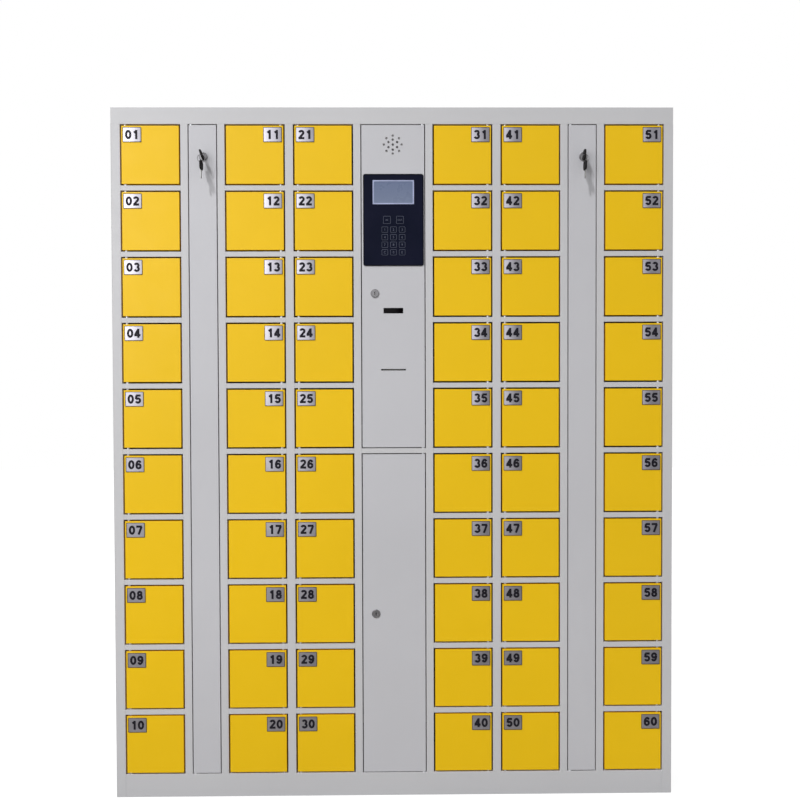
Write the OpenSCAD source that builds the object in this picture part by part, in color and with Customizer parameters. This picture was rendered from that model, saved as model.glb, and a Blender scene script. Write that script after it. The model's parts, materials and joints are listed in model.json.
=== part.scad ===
// Electronic phone locker: sixty small doors, two service doors, a control door and a lower door.
// Millimetres, Z up, front towards -Y, origin at the middle of the footprint on the floor.

/* [Cabinet] */
// Depth of the steel cabinet from its front face to its back face
cab_d = 250; // [220:5:300]
// Thickness of the folded sheet steel
sheet_t = 1; // [0.8:0.1:1.2]
// Height of the kick plate
kick_h = 60; // [50:1:90]
// Height of the header strip
header_h = 43; // [30:1:60]
// Visible width of each side stile
stile_w = 24; // [20:1:30]
// Depth of the folded stiles, posts and rails of the front frame
frame_d = 20; // [18:1:24]
// Width of the strips welded inside each side panel along its rear edge and its foot
side_lip = 15; // [10:1:20]

/* [Compartments] */
// Width of a compartment opening
cell_w = 156; // [140:1:180]
// Height of a compartment opening
cell_h = 158; // [150:1:180]
// Height of the rail between two compartments
rail_h = 13; // [12:1:20]
// Width of the posts beside the bays
post_w = 19; // [18:1:26]
// Width of the posts between two compartment columns
mid_post_w = 21; // [18:1:30]

/* [Bays] */
// Width of a service bay opening
bay_w = 76; // [72:1:100]
// Width of the centre bay opening
centre_w = 168; // [166:1:200]

/* [Doors] */
// Gap round each compartment door
cell_gap = 4; // [3:0.1:4.5]
// Gap round each grey door
grey_gap = 2.5; // [2.2:0.1:3]
// Radius of the hinge pins
pin_r = 2.5; // [1.5:0.1:2.5]
// How far a hinge pin reaches into a door
pin_reach = 6; // [4:0.5:10]
// Height of the shoulder left free under a door
pin_play = 0.3; // [0.2:0.1:0.5]
// Distance from a lock's axis to the latch edge of its opening
lock_edge = 36; // [32:1:40]
// Distance from the header down to the locks of the service doors
service_lock_drop = 84; // [60:1:300]

/* [Electric locks] */
// Length of the lock case, front to back
case_l = 55; // [40:1:70]
// Height of the lock case
case_h = 40; // [30:1:60]
// Reach of the lock nose into the compartment
nose_w = 20; // [18:1:26]
// Length of the lock nose, front to back
nose_l = 24; // [20:1:30]
// Height of the lock nose
nose_h = 20; // [14:1:28]
// Height of the slot in the lock nose
nose_slot = 5; // [4:0.5:8]
// Thickness of the strike on each compartment door
strike_t = 3; // [2:0.5:3.5]
// Width of the strike
strike_w = 14; // [10:1:18]
// Reach of the strike behind the front of the lock nose
strike_reach = 16; // [13:0.5:18]
// Distance from the door's latch edge to the strike
strike_in = 10; // [8:1:12]

/* [Cam locks] */
// Radius of the lock head
head_r = 11; // [10.5:0.5:13]
// How far the lock head stands out of the door
head_t = 2.5; // [2:0.5:4]
// Radius of the lock barrel
barrel_r = 9.5; // [8:0.5:10]
// Radius of the turning plug
plug_r = 6; // [5.5:0.1:6.5]
// Width of the lock cam
cam_w = 14; // [12:1:18]
// Thickness of the lock cam
cam_t = 2; // [1.5:0.5:3]
// Width across the flats of the lock nut
nut_af = 24; // [22:1:28]
// Thickness of the lock nut
nut_t = 4; // [3:0.5:6]

/* [Keys] */
// Length of the key's bow, along the key
bow_l = 24; // [20:1:30]
// Width of the key's bow, across the key
bow_w = 28; // [22:1:32]
// Thickness of the bow
bow_t = 4; // [3:0.5:5]
// Length of the blade
blade_l = 22; // [16:1:22]
// Width of the blade
blade_w = 8; // [6:0.5:8]
// Thickness of the blade
blade_t = 2; // [1.5:0.1:2.5]
// Radius of the hole in the bow
bow_hole_r = 2.5; // [2:0.1:3]
// Distance from the bow's end to the middle of its hole
bow_hole_in = 5; // [4.5:0.5:7]
// Radius of the key ring, to the middle of its wire
ring_r = 9.8; // [9.5:0.1:14]
// Radius of the ring's wire
wire_r = 0.7; // [0.5:0.1:0.8]
// Lean of the key in the left service door, negative to the left
key_tilt_left = -19; // [-20:1:20]
// Lean of the key in the right service door, negative to the left
key_tilt_right = 4; // [-20:1:20]

/* [Control door] */
// Height of the operator panel
panel_h = 238; // [225:1:250]
// How far the operator panel stands out of the door
panel_t = 1.5; // [1:0.1:1.6]
// Corner radius of the operator panel
panel_corner = 6; // [3:1:10]
// Margin between the operator panel and the door's hinge edge
panel_margin = 2; // [2:0.5:4]
// Margin between the operator panel and the door's latch edge
panel_latch_margin = 4; // [3:0.5:8]
// Distance from the header down to the panel's top edge
panel_drop = 129; // [110:1:150]
// Width of the display
lcd_w = 107.5; // [90:0.5:120]
// Height of the display
lcd_h = 62.5; // [50:0.5:72]
// Distance from the panel's top edge down to the display
lcd_top = 16; // [15:1:24]
// Width of the keypad sheet
pad_w = 80; // [76:1:100]
// Height of the keypad sheet
pad_h = 112; // [110:1:118]
// Distance from the panel's top edge down to the keypad sheet
pad_drop = 105; // [100:1:110]
// Width of a number key
key_w = 16; // [12:1:18]
// Height of a number key
key_h = 15; // [12:1:17]
// Spacing of the number keys across the panel
key_pitch_x = 22.5; // [19:0.5:26]
// Spacing of the number keys down the panel
key_pitch_z = 19.6; // [18:0.1:21]
// Depth of the housing behind the panel
housing_d = 28; // [20:1:36]
// Distance from the header down to the middle of the speaker
speaker_drop = 53; // [45:1:70]
// Radius of the speaker
speaker_r = 30; // [26:1:38]
// Radius of the speaker holes
sound_hole_r = 3.1; // [1.5:0.1:3.5]
// Distance from the header down to the lock of the control door
control_lock_drop = 438; // [420:1:450]
// Distance from the header down to the scanner window
scanner_drop = 483; // [475:1:520]
// Width of the scanner window
window_w = 51; // [40:1:60]
// Height of the scanner window
window_h = 14; // [10:1:20]
// Distance from the header down to the ticket slot
slot_drop = 637; // [600:1:680]
// Width of the ticket slot
slot_w = 65; // [58:1:70]
// Height of the ticket slot
slot_h = 4; // [3:0.5:6]
// Width of the paper roll
roll_w = 57; // [50:1:58]
// Radius of the full paper roll
roll_r = 20; // [15:1:24]

/* [Inside] */
// Distance from the header down to the two wall anchor holes
anchor_drop = 200; // [120:5:260]
// Radius of a wall anchor hole
anchor_r = 4.5; // [3:0.5:6]
// Radius of the cable's way through the grommet
cable_r = 4; // [3:0.5:6]
// Height of the grommet above the base tray
grommet_up = 47; // [30:1:80]
// Height of the standoffs behind the circuit boards
standoff_h = 8; // [5:1:15]

/* [Hidden] */
$fn = 48;
rows = 10;
columns = 6;
lower_rows = 5;

stack_h = rows * cell_h + (rows - 1) * rail_h;
head_z = kick_h + stack_h;
cab_h = head_z + header_h;
lower_h = lower_rows * cell_h + (lower_rows - 1) * rail_h;
upper_h = stack_h - lower_h - rail_h;
split_z = kick_h + lower_h + rail_h;

half_w = stile_w + 3 * cell_w + 3 * post_w + bay_w + mid_post_w + centre_w / 2;
col_1 = -half_w + stile_w;
bay_1 = col_1 + cell_w + post_w;
col_2 = bay_1 + bay_w + post_w;
col_3 = col_2 + cell_w + mid_post_w;
col_x = [col_1, col_2, col_3, -col_3 - cell_w, -col_2 - cell_w, -col_1 - cell_w];
bay_x = [bay_1, -bay_1 - bay_w];
mid_wall = col_3 - mid_post_w / 2;
wall_l = [-half_w + sheet_t, col_2, mid_wall + sheet_t / 2];
wall_r = [col_1 + cell_w, mid_wall - sheet_t / 2, col_3 + cell_w];

// The spare key's bow is the foremost point
shoulder = 1;
hole_y = -head_t - shoulder - bow_l + bow_hole_in;
front_proud = bow_w / 2 - hole_y;
front_y = (front_proud - cab_d) / 2;
back_in = cab_d - 2 * sheet_t;

// A pivot set in by twice the gap lets the corner of the leaf clear its post
cell_pivot = 2 * cell_gap;
grey_pivot = 2 * grey_gap;
pin_fit = 0.05;
pin_head_r = pin_r + 1.5;
pin_head_t = 2;
collar_r = pin_r + 1.7;

// Joint line between two pieces that are fixed to each other
seam = 0.05;

cam_play = 0.5;
cam_grip = 7;
barrel_l = frame_d + 0.3;
cam_y = frame_d + cam_play;
cam_len = lock_edge + cam_grip;
screw_r = 4;
screw_t = 2;
plug_fit = 0.05;
hole_play = 0.1;
keyway_play = 0.2;
wire_play = 0.3;

case_w = post_w - 2 * sheet_t;
nose_y = cam_y + cam_t + cam_play;
nose_floor = 5;
window_play = 0.5;
strike_y = nose_y + strike_reach;
strike_hook = 5;
strike_lip = 4;

panel_w = centre_w - 2 * grey_gap - panel_margin - panel_latch_margin;
panel_mid = grey_gap + panel_margin + panel_w / 2;
door_mid = centre_w / 2;
housing_in = 8;
housing_wall = 2;
housing_play = 0.5;
lcd_depth = 10;
lcd_frame = 4;
lcd_sunk = 0.2;
lcd_mid = lcd_top + lcd_h / 2;
pad_floor = 0.5;
pad_t = panel_t - pad_floor;
key_rise = 0.3;
key_corner = 2;
key_rows = 4;
function_w = 19;
function_h = 20;
function_x = 17;
function_drop = 14;
number_drop = 39;

printer_wall = 2;
printer_d = 60;
printer_h = 56;
mouth_d = 12;
mouth_h = 3;
roll_bore_r = 6;
spindle_r = roll_bore_r - 0.05;
roll_play = 1;
scanner_d = 36;
scanner_h = 30;
scanner_rim = 6;
sound_ring_1 = 13;
sound_ring_2 = 23.3;
speaker_d = 22;
speaker_rim = 5;
basket_d = 12;
cone_d = 6;
dome_r = 8;
magnet_r = 15;

board_t = 1.6;
board_w = 56;
board_h = 170;
board_y = cab_d - sheet_t - standoff_h - board_t;
plugs = 5;
plug_w = 24;
plug_h = 12;
plug_d = 10;
plug_pitch = 30;
main_w = 120;
main_h = 150;
main_z = split_z + upper_h / 2;
chip_w = 40;
chip_x = -20;
chip_z = 20;
main_plug_pitch = 34;
main_plug_up = 20;
hole_inset = 6;
board_hole_r = 1.6;
standoff_r = 3;
duct_w = 25;
duct_end = 60;
supply_w = 98;
supply_h = 200;
supply_d = 38;
supply_up = 117;
grommet_r = 11;
grommet_t = 3;
grommet_hole_r = 8;

steel_grey = "#c6c5c9";
door_grey = "#bdbcc1";
yellow = "#f0bd2a";
zinc = "#b9bcc0";
nickel = "#a9abae";
black = "#17171b";
navy = "#171a2a";
lcd_blue = "#74819d";
board_green = "#2c6b45";

function row_z(r) = kick_h + (rows - 1 - r) * (cell_h + rail_h);
function hinge_on_left(c) = c % 2 == 0;
function left_wall(c) = c < 3 ? wall_l[c] : -wall_r[columns - 1 - c];
function right_wall(c) = c < 3 ? wall_r[c] : -wall_l[columns - 1 - c];
function latch_x(c) = hinge_on_left(c) ? col_x[c] + cell_w : col_x[c] - sheet_t;

// Where the lower edge of a leaning bow's hole comes nearest to the ring, across the bow
function edge_x(tilt) = bow_t / 2 * cos(tilt) + bow_hole_r * abs(sin(tilt));
function ring_reach(tilt) = sqrt(pow(ring_r, 2) - pow(edge_x(tilt), 2));

// Distance from the axis of a bow's hole to the wire that hangs in it, with play at that edge
function wire_off(tilt) =
    bow_hole_r * cos(tilt) - bow_t / 2 * abs(sin(tilt)) - ring_r + ring_reach(tilt)
    - (wire_r + wire_play) * ring_r / ring_reach(tilt);
function ring_z(tilt) = -wire_off(tilt) - ring_r;
function spare_z(tilt) = ring_z(tilt) - ring_r - wire_off(0);

// Frames: x runs from the hinge side to the latch side, y inwards, z up from the opening's sill
module at_cell(c, r) {
    x = hinge_on_left(c) ? col_x[c] : col_x[c] + cell_w;
    translate([x, front_y, row_z(r)])
        mirror([hinge_on_left(c) ? 0 : 1, 0, 0])
            children();
}

module at_bay(side) {
    translate([bay_x[side], front_y, kick_h])
        children();
}

module at_centre(sill) {
    translate([centre_w / 2, front_y, sill])
        mirror([1, 0, 0])
            children();
}

module at_front() {
    translate([0, front_y, 0])
        children();
}

// Extrudes a drawing of x and z from y to y + depth
module along_y(y, depth) {
    translate([0, y + depth, 0])
        rotate([90, 0, 0])
            linear_extrude(depth)
                children();
}

module rounded_square(w, h, r) {
    square([w - 2 * r, h], center = true);
    square([w, h - 2 * r], center = true);
    for (x = [-1, 1], y = [-1, 1])
        translate([x * (w / 2 - r), y * (h / 2 - r)])
            circle(r);
}

// Cabinet

// Flat sheet, with a strip welded inside its rear edge and another inside its foot
module side_panel() {
    cube([sheet_t, cab_d, head_z]);
    translate([sheet_t + seam, back_in, 0])
        cube([side_lip, sheet_t, head_z]);
    translate([sheet_t + seam, frame_d, 0])
        cube([side_lip, back_in - 2 * frame_d, sheet_t]);
}

module side_panel_left() {
    color(steel_grey)
        translate([-half_w, front_y, 0])
            side_panel();
}

module side_panel_right() {
    color(steel_grey)
        translate([half_w, front_y, 0])
            mirror([1, 0, 0])
                side_panel();
}

// Bores for the pins that stand in the header and the kick plate
module end_bores(z) {
    for (c = [0:columns - 1])
        at_cell(c, 0)
            translate([cell_gap + cell_pivot, cell_pivot, z - row_z(0) - sheet_t])
                cylinder(r = pin_r, h = 3 * sheet_t);
    for (side = [0, 1])
        at_bay(side)
            translate([grey_gap + grey_pivot, grey_pivot, z - kick_h - sheet_t])
                cylinder(r = pin_r, h = 3 * sheet_t);
    at_centre(z)
        translate([grey_gap + grey_pivot, grey_pivot, -sheet_t])
            cylinder(r = pin_r, h = 3 * sheet_t);
}

module top_cover() {
    color(steel_grey)
        difference() {
            at_front() {
                difference() {
                    translate([-half_w, 0, head_z])
                        cube([2 * half_w, cab_d, header_h]);
                    translate([-half_w + sheet_t, sheet_t, head_z - sheet_t])
                        cube([2 * (half_w - sheet_t), cab_d - 2 * sheet_t, header_h]);
                }
                translate([-half_w, 0, head_z])
                    cube([2 * half_w, frame_d, sheet_t]);
            }
            end_bores(head_z);
        }
}

module ceiling_panel() {
    color(steel_grey)
        at_front()
            translate([-half_w + sheet_t, frame_d, head_z])
                cube([2 * (half_w - sheet_t), back_in - frame_d, sheet_t]);
}

module base_tray() {
    color(steel_grey)
        at_front()
            translate([-half_w + sheet_t, frame_d, kick_h - sheet_t])
                cube([2 * (half_w - sheet_t), back_in - 2 * frame_d, sheet_t]);
}

// Channel that opens towards +y, with its web at the front
module channel(w, h) {
    difference() {
        cube([w, frame_d, h]);
        translate([-1, sheet_t, sheet_t])
            cube([w + 2, frame_d, h - 2 * sheet_t]);
    }
}

module kick_plate() {
    color(steel_grey)
        difference() {
            at_front()
                translate([-half_w + stile_w, 0, 0])
                    channel(2 * (half_w - stile_w), kick_h);
            end_bores(kick_h - sheet_t);
        }
}

module rear_plinth() {
    color(steel_grey)
        at_front()
            translate([half_w - sheet_t, back_in, 0])
                rotate([0, 0, 180])
                    channel(2 * (half_w - sheet_t), kick_h);
}

module back_panel() {
    color(steel_grey)
        at_front()
            difference() {
                translate([-half_w + sheet_t, cab_d - sheet_t, 0])
                    cube([2 * (half_w - sheet_t), sheet_t, head_z]);
                for (side = [0, 1])
                    translate([bay_x[side] + bay_w / 2, 0, head_z - anchor_drop])
                        along_y(cab_d - 2 * sheet_t, 3 * sheet_t)
                            circle(anchor_r);
                translate([0, 0, kick_h + grommet_up])
                    along_y(cab_d - 2 * sheet_t, 3 * sheet_t)
                        circle(grommet_hole_r);
            }
}

// Channel that stands upright and opens towards +y
module upright(x, w, foot) {
    translate([x, front_y, foot])
        linear_extrude(head_z - foot)
            difference() {
                square([w, frame_d]);
                translate([sheet_t, sheet_t])
                    square([w - 2 * sheet_t, frame_d]);
            }
}

// The outer two are the stiles, which stand on the floor inside the side panels
module front_posts() {
    inset = sheet_t + seam;
    color(steel_grey) {
        upright(inset - half_w, stile_w - inset, 0);
        upright(half_w - stile_w, stile_w - inset, 0);
        for (side = [0, 1]) {
            upright(bay_x[side] - post_w, post_w, kick_h);
            upright(bay_x[side] + bay_w, post_w, kick_h);
        }
        upright(-centre_w / 2 - post_w, post_w, kick_h);
        upright(centre_w / 2, post_w, kick_h);
        upright(col_3 - mid_post_w, mid_post_w, kick_h);
        upright(-col_3, mid_post_w, kick_h);
    }
}

module front_rails() {
    color(steel_grey) {
        for (c = [0:columns - 1], r = [0:rows - 2])
            at_cell(c, r)
                translate([0, 0, -rail_h])
                    difference() {
                        channel(cell_w, rail_h);
                        translate([cell_gap + cell_pivot, cell_pivot, -1])
                            cylinder(r = pin_r, h = rail_h + 2);
                    }
        at_centre(split_z - rail_h)
            difference() {
                channel(centre_w, rail_h);
                translate([grey_gap + grey_pivot, grey_pivot, -1])
                    cylinder(r = pin_r, h = rail_h + 2);
            }
    }
}

// Sheets beside the bays carry the electric locks, and one sheet stands behind each middle post
module partitions() {
    notch_h = nose_h + 2 * window_play;
    color(steel_grey) {
        for (c = [0:columns - 1])
            difference() {
                translate([latch_x(c), front_y + frame_d, kick_h])
                    cube([sheet_t, cab_d - sheet_t - frame_d, stack_h]);
                for (r = [0:rows - 1])
                    at_cell(c, r)
                        translate([cell_w - sheet_t, nose_y - window_play, (cell_h - notch_h) / 2])
                            cube([3 * sheet_t, nose_l + 2 * window_play, notch_h]);
            }
        for (side = [-1, 1])
            translate([side * mid_wall - sheet_t / 2, front_y + sheet_t, kick_h])
                cube([sheet_t, cab_d - 2 * sheet_t, stack_h]);
    }
}

module shelves() {
    color(steel_grey) {
        for (c = [0:columns - 1], r = [0:rows - 2])
            translate([left_wall(c), front_y + frame_d, row_z(r) - sheet_t])
                cube([right_wall(c) - left_wall(c), back_in - frame_d, sheet_t]);
        translate([right_wall(2) + sheet_t, front_y + frame_d, split_z - sheet_t])
            cube([-2 * (right_wall(2) + sheet_t), back_in - frame_d, sheet_t]);
    }
}

// Pin through a rail, with a shoulder above it and below it
module rail_pin(gap, pivot) {
    translate([gap + pivot, pivot, 0]) {
        translate([0, 0, -rail_h - gap - pin_reach])
            cylinder(r = pin_r, h = rail_h + 2 * (gap + pin_reach));
        for (z = [0, -rail_h - gap + pin_play])
            translate([0, 0, z])
                cylinder(r = collar_r, h = gap - pin_play);
    }
}

// Pin that stands up from a flange of one sheet, with its head under the sheet
module end_pin(gap, pivot) {
    translate([gap + pivot, pivot, 0]) {
        translate([0, 0, -sheet_t])
            cylinder(r = pin_r, h = sheet_t + gap + pin_reach);
        translate([0, 0, -sheet_t - pin_head_t])
            cylinder(r = pin_head_r, h = pin_head_t);
        cylinder(r = collar_r, h = gap - pin_play);
    }
}

module end_pins(gap, pivot, opening_h) {
    end_pin(gap, pivot);
    translate([0, 0, opening_h])
        mirror([0, 0, 1])
            end_pin(gap, pivot);
}

module hinge_pins() {
    color(zinc) {
        for (c = [0:columns - 1]) {
            at_cell(c, rows - 1)
                end_pins(cell_gap, cell_pivot, stack_h);
            for (r = [0:rows - 2])
                at_cell(c, r)
                    rail_pin(cell_gap, cell_pivot);
        }
        for (side = [0, 1])
            at_bay(side)
                end_pins(grey_gap, grey_pivot, stack_h);
        at_centre(kick_h)
            end_pins(grey_gap, grey_pivot, stack_h);
        at_centre(split_z)
            rail_pin(grey_gap, grey_pivot);
    }
}

// Lock case in the bay, and its slotted nose reaching through the partition
module electric_lock() {
    translate([cell_w + sheet_t, nose_y, (cell_h - case_h) / 2])
        cube([case_w, case_l, case_h]);
    difference() {
        translate([cell_w - nose_w, nose_y, (cell_h - nose_h) / 2])
            cube([nose_w + sheet_t - seam, nose_l, nose_h]);
        translate([cell_w - nose_w - 1, nose_y - 1, (cell_h - nose_slot) / 2])
            cube([nose_w + 1 - nose_floor, nose_l + 2, nose_slot]);
    }
}

module electric_locks() {
    color(zinc)
        for (c = [0:columns - 1], r = [0:rows - 1])
            at_cell(c, r)
                electric_lock();
}

// Doors

module door_pan(open_w, open_h, gap, pivot) {
    w = open_w - 2 * gap;
    h = open_h - 2 * gap;
    difference() {
        translate([gap, 0, gap])
            cube([w, 2 * pivot, h]);
        translate([gap + sheet_t, sheet_t, gap + sheet_t])
            cube([w - 2 * sheet_t, 2 * pivot, h - 2 * sheet_t]);
        translate([gap + pivot, pivot, 0])
            cylinder(r = pin_r + pin_fit, h = open_h);
    }
}

// Flat hook in the plane of the door's swing
module strike() {
    latch = cell_w - cell_gap - strike_in;
    translate([0, 0, (cell_h - strike_t) / 2])
        linear_extrude(strike_t)
            polygon([
                [latch - strike_w, sheet_t / 2],
                [latch, sheet_t / 2],
                [latch, strike_y - strike_hook - strike_lip],
                [latch - strike_hook, strike_y - strike_hook - strike_lip],
                [latch - strike_hook, strike_y - strike_lip],
                [latch, strike_y - strike_lip],
                [latch - strike_lip / 2, strike_y],
                [latch - strike_w, strike_y]
            ]);
}

module cell_door(c, r) {
    color(yellow)
        at_cell(c, r) {
            door_pan(cell_w, cell_h, cell_gap, cell_pivot);
            strike();
        }
}

module door_column(c) {
    for (r = [0:rows - 1])
        cell_door(c, r);
}

module lock_hole(x, z) {
    translate([x, 0, z])
        along_y(-1, 2 + sheet_t)
            circle(barrel_r + hole_play);
}

module service_door(side) {
    color(door_grey)
        at_bay(side)
            difference() {
                door_pan(bay_w, stack_h, grey_gap, grey_pivot);
                lock_hole(bay_w - lock_edge, stack_h - service_lock_drop);
            }
}

module sound_holes() {
    circle(sound_hole_r);
    for (k = [0:5])
        rotate(30 + 60 * k)
            translate([sound_ring_1, 0])
                circle(sound_hole_r);
    for (k = [0:7])
        rotate(45 * k)
            translate([sound_ring_2, 0])
                circle(sound_hole_r);
}

module control_door() {
    color(door_grey)
        at_centre(split_z)
            difference() {
                door_pan(centre_w, upper_h, grey_gap, grey_pivot);
                lock_hole(centre_w - lock_edge, upper_h - control_lock_drop);
                translate([door_mid, 0, upper_h - speaker_drop])
                    along_y(-1, 2 + sheet_t)
                        sound_holes();
                translate([panel_mid, 0, upper_h - panel_drop - panel_h / 2])
                    along_y(-1, 2 + sheet_t)
                        square([panel_w - 2 * housing_in, panel_h - 2 * housing_in], center = true);
                translate([door_mid, 0, upper_h - scanner_drop])
                    along_y(-1, 2 + sheet_t)
                        square([window_w, window_h], center = true);
                translate([door_mid, 0, upper_h - slot_drop])
                    along_y(-1, 2 + sheet_t)
                        square([slot_w, slot_h], center = true);
            }
}

module lower_door() {
    color(door_grey)
        at_centre(kick_h)
            difference() {
                door_pan(centre_w, lower_h, grey_gap, grey_pivot);
                lock_hole(centre_w - lock_edge, lower_h / 2);
            }
}

// Cam locks and keys, each about an axis along y through its own origin

module lock_barrel() {
    color(nickel) {
        difference() {
            union() {
                along_y(-head_t, head_t)
                    circle(head_r);
                along_y(-head_t, head_t + barrel_l)
                    circle(barrel_r);
            }
            along_y(-head_t - 1, head_t + barrel_l + 2)
                circle(plug_r + plug_fit);
        }
        along_y(sheet_t, nut_t)
            difference() {
                circle(r = nut_af / sqrt(3), $fn = 6);
                circle(barrel_r);
            }
    }
}

// The cam points up when cam_turn is 0 and down when it is 180
module lock_plug(tilt, cam_turn) {
    color(nickel) {
        difference() {
            along_y(-head_t, head_t + cam_y - seam)
                circle(plug_r);
            rotate([0, tilt, 0])
                along_y(-head_t - 1, blade_l + 1)
                    square([blade_t + keyway_play, blade_w + keyway_play], center = true);
        }
        rotate([0, cam_turn, 0])
            along_y(cam_y, cam_t) {
                circle(cam_w / 2);
                translate([-cam_w / 2, 0])
                    square([cam_w, cam_len - cam_w / 2]);
                translate([0, cam_len - cam_w / 2])
                    circle(cam_w / 2);
            }
        along_y(cam_y + cam_t + seam, screw_t)
            circle(screw_r);
    }
}

// Key with its blade towards +y and its shoulder at the origin
module key_shape() {
    translate([-bow_t / 2, 0, 0])
        rotate([90, 0, 90])
            linear_extrude(bow_t)
                difference() {
                    intersection() {
                        translate([-bow_l / 2, 0])
                            circle(bow_w / 2 + 1);
                        translate([-bow_l, -bow_w / 2])
                            square([bow_l, bow_w]);
                    }
                    translate([-bow_l + bow_hole_in, 0])
                        circle(bow_hole_r);
                }
    translate([-blade_t / 2, 0, 0])
        rotate([90, 0, 90])
            linear_extrude(blade_t)
                polygon([
                    [-1, -blade_w / 2],
                    [blade_l - blade_w / 4, -blade_w / 2],
                    [blade_l, 0],
                    [blade_l - blade_w / 4, blade_w / 2],
                    [-1, blade_w / 2]
                ]);
}

module inserted_key(tilt) {
    color(black)
        rotate([0, tilt, 0])
            translate([0, -head_t - shoulder, 0])
                key_shape();
}

// The ring hangs in the bow of the inserted key, and the spare key hangs on the ring
module key_ring(tilt) {
    color(nickel)
        translate([0, hole_y, ring_z(tilt)])
            rotate([90, 0, 0])
                rotate_extrude()
                    translate([ring_r, 0])
                        circle(wire_r);
}

module spare_key(tilt) {
    color(black)
        translate([0, hole_y, spare_z(tilt) - bow_l + bow_hole_in])
            rotate([-90, 0, 0])
                key_shape();
}

module at_service_lock(side) {
    at_bay(side)
        translate([bay_w - lock_edge, 0, stack_h - service_lock_drop])
            children();
}

module at_control_lock() {
    at_centre(split_z)
        translate([centre_w - lock_edge, 0, upper_h - control_lock_drop])
            children();
}

module at_lower_lock() {
    at_centre(kick_h)
        translate([centre_w - lock_edge, 0, lower_h / 2])
            children();
}

// Control door equipment, drawn about the panel's top edge or about its own place on the door

module at_panel() {
    at_centre(split_z)
        translate([panel_mid, 0, upper_h - panel_drop])
            children();
}

module pad_outline() {
    translate([-pad_w / 2, -pad_drop - pad_h])
        square([pad_w, pad_h]);
}

module lcd_outline(rim) {
    translate([0, -lcd_mid])
        square([lcd_w + 2 * rim, lcd_h + 2 * rim], center = true);
}

module operator_panel() {
    color(navy)
        at_panel()
            difference() {
                along_y(-panel_t, panel_t)
                    translate([0, -panel_h / 2])
                        rounded_square(panel_w, panel_h, panel_corner);
                along_y(-panel_t - 1, panel_t + 2)
                    lcd_outline(0);
                along_y(-panel_t - 1, 1 + pad_t)
                    pad_outline();
            }
}

module panel_housing() {
    outer_w = panel_w - 2 * (housing_in + housing_play);
    outer_h = panel_h - 2 * (housing_in + housing_play);
    color(black)
        at_panel()
            translate([0, 0, -panel_h / 2])
                difference() {
                    along_y(0, housing_d)
                        square([outer_w, outer_h], center = true);
                    along_y(-1, housing_d + 1 - housing_wall)
                        square([outer_w - 2 * housing_wall, outer_h - 2 * housing_wall], center = true);
                }
}

module lcd_module() {
    color(lcd_blue)
        at_panel() {
            along_y(-panel_t + lcd_sunk, panel_t - lcd_sunk)
                lcd_outline(0);
            along_y(0, lcd_depth)
                lcd_outline(lcd_frame);
        }
}

module keypad() {
    color(navy)
        at_panel() {
            along_y(-panel_t, pad_t)
                pad_outline();
            along_y(-panel_t - key_rise, key_rise) {
                for (x = [-1, 1])
                    translate([x * function_x, -pad_drop - function_drop])
                        rounded_square(function_w, function_h, key_corner);
                for (x = [-1:1], row = [0:key_rows - 1])
                    translate([x * key_pitch_x, -pad_drop - number_drop - row * key_pitch_z])
                        rounded_square(key_w, key_h, key_corner);
            }
        }
}

module speaker() {
    color(black)
        at_centre(split_z)
            translate([door_mid, sheet_t, upper_h - speaker_drop])
                rotate([-90, 0, 0])
                    rotate_extrude()
                        polygon([
                            [0, cone_d],
                            [dome_r, cone_d],
                            [speaker_r - speaker_rim, 1],
                            [speaker_r - speaker_rim, 0],
                            [speaker_r, 0],
                            [speaker_r, 3],
                            [magnet_r, basket_d],
                            [magnet_r, speaker_d],
                            [0, speaker_d]
                        ]);
}

// Scanner case behind the door, and its window in the door's opening
module code_scanner() {
    color(black)
        at_centre(split_z)
            translate([door_mid, 0, upper_h - scanner_drop]) {
                along_y(sheet_t, scanner_d)
                    square([window_w + 2 * scanner_rim, scanner_h], center = true);
                along_y(0, sheet_t)
                    square([window_w, window_h], center = true);
            }
}

// Two cheeks, a printing head with the ticket's mouth, a floor and the roll's spindle
module ticket_printer() {
    inner_w = roll_w + 2 * roll_play;
    outer_w = inner_w + 2 * printer_wall;
    axis_y = sheet_t + mouth_d + roll_play + roll_r;
    color(black)
        at_centre(split_z)
            translate([door_mid, 0, upper_h - slot_drop]) {
                for (side = [-1, 1])
                    translate([side * (inner_w + printer_wall) / 2, 0, 0])
                        along_y(sheet_t, printer_d)
                            square([printer_wall, printer_h], center = true);
                difference() {
                    along_y(sheet_t, mouth_d)
                        square([outer_w, printer_h / 2], center = true);
                    along_y(0, mouth_d + 2 * sheet_t)
                        square([roll_w, mouth_h], center = true);
                }
                translate([0, 0, -printer_h / 2])
                    along_y(sheet_t, printer_d)
                        translate([-outer_w / 2, 0])
                            square([outer_w, printer_wall]);
                translate([-outer_w / 2, axis_y, 0])
                    rotate([0, 90, 0])
                        cylinder(r = spindle_r, h = outer_w);
            }
}

module paper_roll() {
    axis_y = sheet_t + mouth_d + roll_play + roll_r;
    color("white")
        at_centre(split_z)
            translate([door_mid - roll_w / 2, axis_y, upper_h - slot_drop])
                rotate([0, 90, 0])
                    linear_extrude(roll_w)
                        difference() {
                            circle(roll_r);
                            circle(roll_bore_r);
                        }
}

// Equipment fixed in the bays

module board_corners(w, h) {
    for (x = [-1, 1], z = [-1, 1])
        translate([x * (w / 2 - hole_inset), z * (h / 2 - hole_inset)])
            children();
}

module board(w, h) {
    along_y(board_y, board_t)
        difference() {
            square([w, h], center = true);
            board_corners(w, h)
                circle(board_hole_r);
        }
}

// A lock driver board stands between the duct and the far wall of its service bay
module at_driver_board(side) {
    translate([bay_x[side] + (duct_w + bay_w + post_w) / 2, front_y, kick_h + stack_h / 2])
        children();
}

module at_main_board() {
    translate([0, front_y, main_z])
        children();
}

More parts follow.
